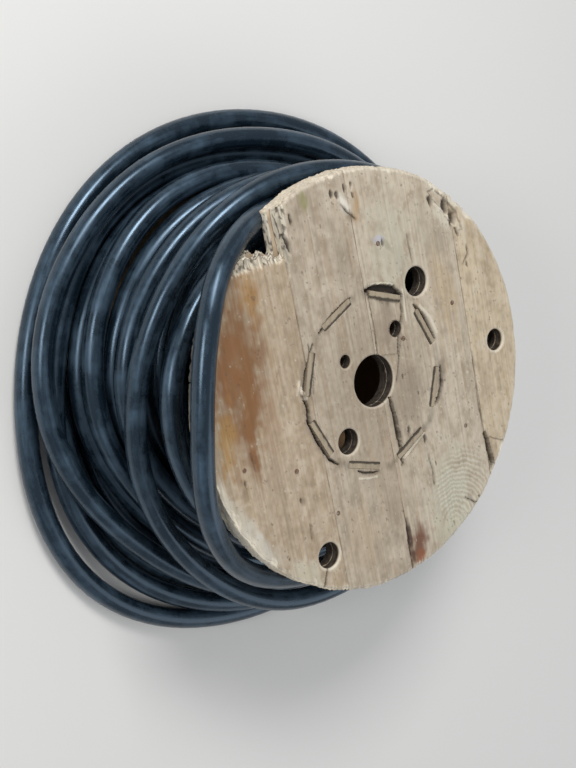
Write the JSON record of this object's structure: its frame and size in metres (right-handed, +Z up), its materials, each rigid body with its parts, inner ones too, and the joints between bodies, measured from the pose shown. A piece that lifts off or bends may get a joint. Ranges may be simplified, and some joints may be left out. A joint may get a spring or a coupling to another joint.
{
  "type": "wooden cable drum",
  "caption": "Small weathered wooden cable drum with boarded flanges, a staved barrel and an arbor hole, standing on end with thick black cable wound loosely round it.",
  "frame": {"origin": "centre of the lower flange's outer face, on the arbor axis", "axes": "+Z up along the arbor axis, from the lower flange to the upper; -X towards the broken side of the upper flange"},
  "size_m": [0.3799, 0.3798, 0.152],
  "materials": {
    "flange_wood": "weathered grey sawn softwood",
    "barrel_wood": "sawn softwood, less weathered",
    "cable_sheath": "satin black rubber sheath, dusty"
  },
  "bodies": {
    "root": {"top_face_board_1": "flange_wood", "top_face_board_2": "flange_wood", "top_face_board_3": "flange_wood", "top_face_board_4": "flange_wood", "top_back_board_1": "flange_wood", "top_back_board_2": "flange_wood", "top_back_board_3": "flange_wood", "base_face_board_1": "flange_wood", "base_face_board_2": "flange_wood", "base_face_board_3": "flange_wood", "base_face_board_4": "flange_wood", "base_back_board_1": "flange_wood", "base_back_board_2": "flange_wood", "base_back_board_3": "flange_wood", "barrel_stave_1": "barrel_wood", "barrel_stave_2": "barrel_wood", "barrel_stave_3": "barrel_wood", "barrel_stave_4": "barrel_wood", "barrel_stave_5": "barrel_wood", "barrel_stave_6": "barrel_wood", "barrel_stave_7": "barrel_wood", "barrel_stave_8": "barrel_wood", "cable_coil": "cable_sheath"}
  },
  "joints": []
}
